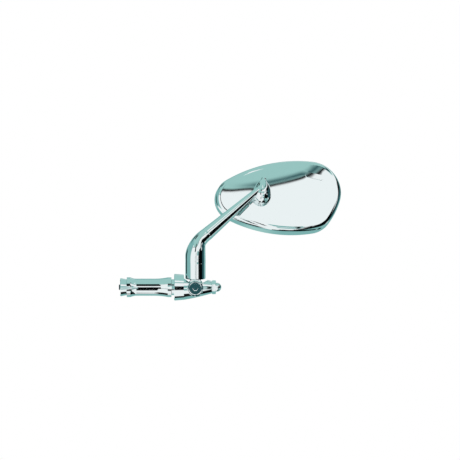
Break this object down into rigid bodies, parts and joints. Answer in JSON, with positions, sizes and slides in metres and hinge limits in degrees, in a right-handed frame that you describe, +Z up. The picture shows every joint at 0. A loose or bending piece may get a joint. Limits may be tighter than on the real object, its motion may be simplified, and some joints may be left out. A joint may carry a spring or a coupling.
{
  "type": "bar-end motorcycle mirror",
  "caption": "Chromed bar-end mirror: expanding plug for a handlebar's open end, hinged stem with a tapered arm, and a convex rounded head on a ball swivel.",
  "frame": {"origin": "centre of the collar's seat, where it meets the end of the handlebar, on the bar's axis", "axes": "+X out along the bar, away from the grip; +Z up along the stem; +Y the way the glass faces"},
  "size_m": [0.1854, 0.0775, 0.1122],
  "materials": {
    "chrome_casting": "polished chrome plate on a casting",
    "chrome_pressing": "polished chrome plate on a pressing",
    "chrome_fastener": "bright chrome plate",
    "chrome_sleeve": "bright plate on turned parts",
    "zinc_steel": "bright zinc plate",
    "hard_steel": "ground steel",
    "bronze": "plain bronze",
    "acetal": "turned white acetal",
    "mirror_glass": "silvered convex glass",
    "black_rubber": "moulded black rubber",
    "grey_foam": "closed-cell foam"
  },
  "bodies": {
    "clamp": {"clamp_body": "chrome_casting", "pivot_screw": "chrome_fastener", "pivot_nut": "chrome_fastener", "thrust_washers": "hard_steel", "friction_pad": "bronze", "adjuster_stud": "zinc_steel", "cap_nut": "chrome_fastener", "draw_washer": "zinc_steel"},
    "arm": {"mirror_arm": "chrome_casting", "pivot_bush": "bronze", "ball_stud": "hard_steel"},
    "liner_front": {"ball_liner_front": "acetal"},
    "liner_rear": {"ball_liner_rear": "acetal"},
    "head": {"mirror_shell": "chrome_pressing", "swivel_seat": "chrome_pressing", "pressure_cup": "acetal", "seat_spring": "hard_steel", "retainer_plate": "zinc_steel", "retainer_screws": "zinc_steel", "mirror_glass": "mirror_glass", "glass_gasket": "black_rubber", "backing_pad": "grey_foam"},
    "draw_screw": {"draw_screw": "zinc_steel"},
    "cone_nut": {"cone_nut": "chrome_sleeve"},
    "segment_1": {"expander_segment_1": "chrome_sleeve"},
    "segment_2": {"expander_segment_2": "chrome_sleeve"},
    "segment_3": {"expander_segment_3": "chrome_sleeve"}
  },
  "joints": [
    {"name": "arm_lean", "type": "hinge", "parent": "clamp", "child": "arm", "pos_m": [0.0176, 0, 0], "axis": [0, 1, 0], "range_deg": [-4, 10]},
    {"name": "head_roll", "type": "hinge", "parent": "arm", "child": "liner_front", "pos_m": [0.07182, 0.03576, 0.0721], "axis": [0.1632, -0.9254, 0.342], "range_deg": [-15, 15]},
    {"name": "head_tilt", "type": "hinge", "parent": "liner_front", "child": "liner_rear", "pos_m": [0.07182, 0.03576, 0.0721], "axis": [0.9848, 0.1736, 0], "range_deg": [-10, 10]},
    {"name": "head_pan", "type": "hinge", "parent": "liner_rear", "child": "head", "pos_m": [0.07182, 0.03576, 0.0721], "axis": [-0.0594, 0.3368, 0.9397], "range_deg": [-10, 10]},
    {"name": "draw_turn", "type": "hinge", "parent": "clamp", "child": "draw_screw", "pos_m": [0, 0, 0], "axis": [-1, 0, 0], "range_deg": [0, 1800]},
    {"name": "cone_pull", "type": "slide", "parent": "clamp", "child": "cone_nut", "axis": [1, 0, 0], "range_m": [0, 0.004]},
    {"name": "segment_1_expand", "type": "slide", "parent": "clamp", "child": "segment_1", "axis": [0.9806, -0.0981, -0.1698], "range_m": [0, 0.00205]},
    {"name": "segment_2_expand", "type": "slide", "parent": "clamp", "child": "segment_2", "axis": [0.9806, 0.1961, 0], "range_m": [0, 0.00205]},
    {"name": "segment_3_expand", "type": "slide", "parent": "clamp", "child": "segment_3", "axis": [0.9806, -0.0981, 0.1698], "range_m": [0, 0.00205]}
  ],
  "couplings": [
    {"joint": "draw_turn", "follows": "cone_pull", "rad_per_m": 7854},
    {"joint": "segment_1_expand", "follows": "cone_pull", "ratio": 0.5099},
    {"joint": "segment_2_expand", "follows": "cone_pull", "ratio": 0.5099},
    {"joint": "segment_3_expand", "follows": "cone_pull", "ratio": 0.5099}
  ]
}
